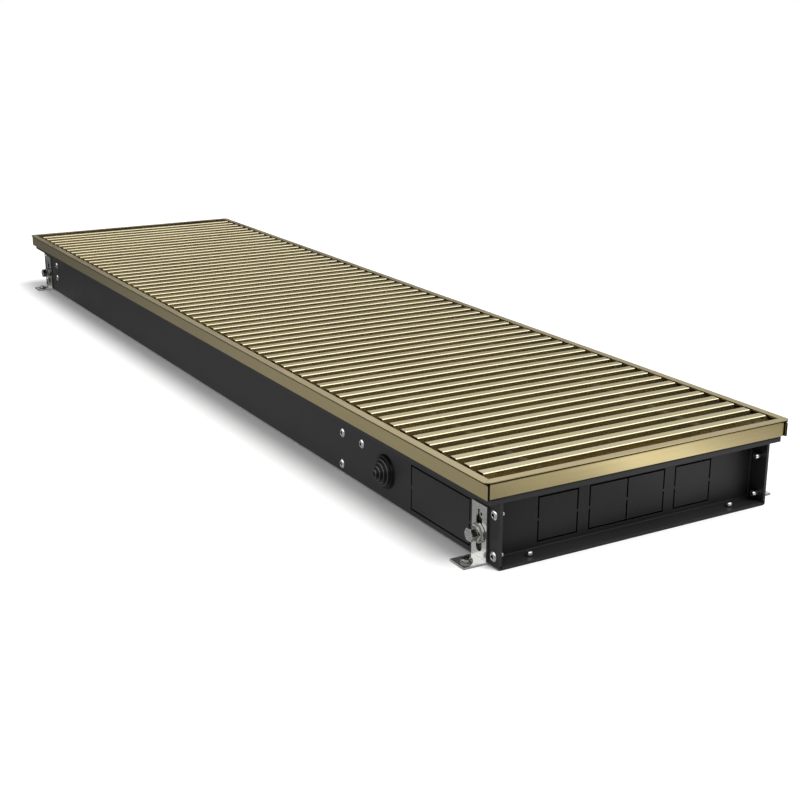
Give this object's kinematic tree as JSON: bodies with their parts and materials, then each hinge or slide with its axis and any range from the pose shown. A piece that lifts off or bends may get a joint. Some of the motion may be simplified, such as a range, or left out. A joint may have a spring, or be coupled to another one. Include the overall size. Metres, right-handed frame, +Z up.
{
  "type": "trench convector heater",
  "caption": "Shallow floor casing with a finned tube heat exchanger, a trim frame, slotted levelling brackets and a transverse grille that rolls up and lifts out.",
  "frame": {"origin": "middle of the casing's length and width, at the underside that rests on the subfloor", "axes": "+X along the casing towards the connection end, +Y across it, away from the cable grommet, +Z up"},
  "size_m": [1, 0.2674, 0.0631],
  "materials": {
    "casing_paint": "fine powder coat, satin",
    "inner_paint": "fine powder coat, satin",
    "trim_anodised": "champagne anodised, fine brushed",
    "slat_anodised": "champagne anodised, fine brushed",
    "plain_aluminium": "mill finish",
    "fin_aluminium": "bright rolled",
    "copper": "drawn copper",
    "brass": "turned",
    "zinc_steel": "zinc plated",
    "stainless": "stainless, satin",
    "bright_steel": "bright zinc plated",
    "rivet_steel": "bright",
    "spring_steel": "close wound wire",
    "bush_plastic": "moulded",
    "rubber": "matt"
  },
  "bodies": {
    "casing": {"casing_tray": "casing_paint", "end_wall_near": "casing_paint", "end_wall_far": "casing_paint", "end_rivets": "rivet_steel", "bracket_rivets": "rivet_steel", "cable_grommet": "rubber", "spreader_bar": "inner_paint", "trim_left": "trim_anodised", "trim_right": "trim_anodised", "trim_near": "trim_anodised", "trim_far": "trim_anodised", "trim_corner_keys": "plain_aluminium", "grille_seals": "rubber", "support_near": "zinc_steel", "support_far": "zinc_steel", "isolator_rings": "rubber", "copper_tubes": "copper", "return_bends": "copper", "fins": "fin_aluminium", "supply_fitting": "brass", "return_fitting": "brass", "vent_body": "brass", "threaded_inserts": "zinc_steel", "levelling_bolts": "bright_steel", "lock_nuts": "bright_steel", "washers": "bright_steel"},
    "grille": {"grille_slats": "slat_anodised", "grille_springs": "spring_steel", "grille_bushes": "bush_plastic"},
    "vent_screw": {"vent_screw": "bright_steel"},
    "bracket_1": {"levelling_bracket_1": "stainless", "foot_screw_1": "bright_steel"},
    "bracket_2": {"levelling_bracket_2": "stainless", "foot_screw_2": "bright_steel"},
    "bracket_3": {"levelling_bracket_3": "stainless", "foot_screw_3": "bright_steel"},
    "bracket_4": {"levelling_bracket_4": "stainless", "foot_screw_4": "bright_steel"},
    "slat_1": {"roll_slat_1": "slat_anodised", "roll_link_1": "bush_plastic"},
    "slat_2": {"roll_slat_2": "slat_anodised", "roll_link_2": "bush_plastic"},
    "slat_3": {"roll_slat_3": "slat_anodised", "roll_link_3": "bush_plastic"},
    "slat_4": {"roll_slat_4": "slat_anodised", "roll_link_4": "bush_plastic"},
    "slat_5": {"roll_slat_5": "slat_anodised", "roll_link_5": "bush_plastic"},
    "slat_6": {"roll_slat_6": "slat_anodised", "roll_link_6": "bush_plastic"},
    "slat_7": {"roll_slat_7": "slat_anodised", "roll_link_7": "bush_plastic"},
    "slat_8": {"roll_slat_8": "slat_anodised", "roll_link_8": "bush_plastic"},
    "slat_9": {"roll_slat_9": "slat_anodised", "roll_link_9": "bush_plastic"},
    "slat_10": {"roll_slat_10": "slat_anodised", "roll_link_10": "bush_plastic"}
  },
  "joints": [
    {"name": "grille_lift", "type": "slide", "parent": "casing", "child": "grille", "axis": [0, 0, 1], "range_m": [0, 0.08]},
    {"name": "vent_turn", "type": "hinge", "parent": "casing", "child": "vent_screw", "pos_m": [0.345, 0.05625, 0.04], "axis": [0, 0, 1], "range_deg": [0, 360]},
    {"name": "roll_1", "type": "hinge", "parent": "grille", "child": "slat_1", "pos_m": [0.332, 0, 0.0593], "axis": [0, -1, 0], "range_deg": [0, 18]},
    {"name": "roll_2", "type": "hinge", "parent": "slat_1", "child": "slat_2", "pos_m": [0.348, 0, 0.0593], "axis": [0, -1, 0], "range_deg": [0, 18]},
    {"name": "roll_3", "type": "hinge", "parent": "slat_2", "child": "slat_3", "pos_m": [0.364, 0, 0.0593], "axis": [0, -1, 0], "range_deg": [0, 18]},
    {"name": "roll_4", "type": "hinge", "parent": "slat_3", "child": "slat_4", "pos_m": [0.38, 0, 0.0593], "axis": [0, -1, 0], "range_deg": [0, 18]},
    {"name": "roll_5", "type": "hinge", "parent": "slat_4", "child": "slat_5", "pos_m": [0.396, 0, 0.0593], "axis": [0, -1, 0], "range_deg": [0, 18]},
    {"name": "roll_6", "type": "hinge", "parent": "slat_5", "child": "slat_6", "pos_m": [0.412, 0, 0.0593], "axis": [0, -1, 0], "range_deg": [0, 18]},
    {"name": "roll_7", "type": "hinge", "parent": "slat_6", "child": "slat_7", "pos_m": [0.428, 0, 0.0593], "axis": [0, -1, 0], "range_deg": [0, 18]},
    {"name": "roll_8", "type": "hinge", "parent": "slat_7", "child": "slat_8", "pos_m": [0.444, 0, 0.0593], "axis": [0, -1, 0], "range_deg": [0, 18]},
    {"name": "roll_9", "type": "hinge", "parent": "slat_8", "child": "slat_9", "pos_m": [0.46, 0, 0.0593], "axis": [0, -1, 0], "range_deg": [0, 18]},
    {"name": "roll_10", "type": "hinge", "parent": "slat_9", "child": "slat_10", "pos_m": [0.476, 0, 0.0593], "axis": [0, -1, 0], "range_deg": [0, 18]},
    {"name": "level_1", "type": "slide", "parent": "casing", "child": "bracket_1", "axis": [0, 0, 1], "range_m": [-0.012, 0.007]},
    {"name": "level_2", "type": "slide", "parent": "casing", "child": "bracket_2", "axis": [0, 0, 1], "range_m": [-0.012, 0.007]},
    {"name": "level_3", "type": "slide", "parent": "casing", "child": "bracket_3", "axis": [0, 0, 1], "range_m": [-0.012, 0.007]},
    {"name": "level_4", "type": "slide", "parent": "casing", "child": "bracket_4", "axis": [0, 0, 1], "range_m": [-0.012, 0.007]}
  ],
  "couplings": [
    {"joint": "roll_2", "follows": "roll_1", "ratio": 1},
    {"joint": "roll_3", "follows": "roll_1", "ratio": 1},
    {"joint": "roll_4", "follows": "roll_1", "ratio": 1},
    {"joint": "roll_5", "follows": "roll_1", "ratio": 1},
    {"joint": "roll_6", "follows": "roll_1", "ratio": 1},
    {"joint": "roll_7", "follows": "roll_1", "ratio": 1},
    {"joint": "roll_8", "follows": "roll_1", "ratio": 1},
    {"joint": "roll_9", "follows": "roll_1", "ratio": 1},
    {"joint": "roll_10", "follows": "roll_1", "ratio": 1}
  ]
}
